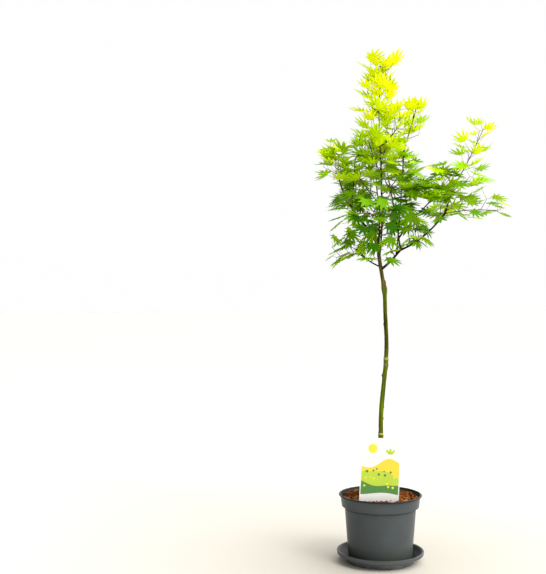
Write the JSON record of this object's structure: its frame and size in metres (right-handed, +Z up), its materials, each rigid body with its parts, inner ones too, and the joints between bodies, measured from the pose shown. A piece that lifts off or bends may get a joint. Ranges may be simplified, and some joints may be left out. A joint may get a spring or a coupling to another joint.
{
  "type": "potted japanese maple",
  "caption": "Young golden Japanese maple grafted on a slender clear stem, with an open airy crown, in a dark nursery pot on a saucer with a stick-in plant label.",
  "frame": {"origin": "centre of the saucer's flat underside, on the floor", "axes": "+Z up along the stem, -Y towards the viewer of the picture, +X to the viewer's right, where the longest bough reaches"},
  "size_m": [0.6306, 0.5079, 1.5939],
  "materials": {
    "saucer": "matte",
    "pot": "satin",
    "compost": "rough",
    "label": "satin",
    "stem": "satin",
    "boughs": "satin",
    "leaves_gold": "matte",
    "leaves_lime": "matte",
    "leaves_green": "matte"
  },
  "bodies": {
    "root": {"saucer": "saucer", "pot": "pot", "compost": "compost", "label": "label", "stem": "stem", "right_bough": "boughs", "right_arm": "boughs", "right_shoot": "boughs", "right_riser": "boughs", "tall_riser": "boughs", "shoulder_bough": "boughs", "left_bough": "boughs", "left_riser": "boughs", "left_whip": "boughs", "low_left_bough": "boughs", "front_bough": "boughs", "back_bough": "boughs", "back_riser": "boughs", "crown_tip": "leaves_gold", "crown_left": "leaves_gold", "crown_right": "leaves_gold", "crown_back": "leaves_gold", "crown_front": "leaves_lime", "heart_left": "leaves_lime", "heart_right": "leaves_lime", "heart_low": "leaves_lime", "upper_right": "leaves_gold", "middle_right": "leaves_lime", "arm_tip": "leaves_gold", "arm_outer": "leaves_lime", "arm_far": "leaves_lime", "arm_low": "leaves_green", "arm_back": "leaves_lime", "shoulder_top": "leaves_lime", "shoulder_left": "leaves_lime", "shoulder_low": "leaves_lime", "low_right": "leaves_green", "low_right_back": "leaves_green", "low_front": "leaves_green", "centre_right": "leaves_lime", "centre_top": "leaves_gold", "left_upper": "leaves_lime", "left_middle": "leaves_lime", "left_crest": "leaves_gold", "left_inner": "leaves_green", "left_back": "leaves_lime", "low_left": "leaves_green", "low_left_near": "leaves_green", "low_left_back": "leaves_green", "front_low": "leaves_green", "front_top": "leaves_lime", "back_low": "leaves_green", "back_left": "leaves_lime", "back_top": "leaves_gold"}
  },
  "joints": []
}
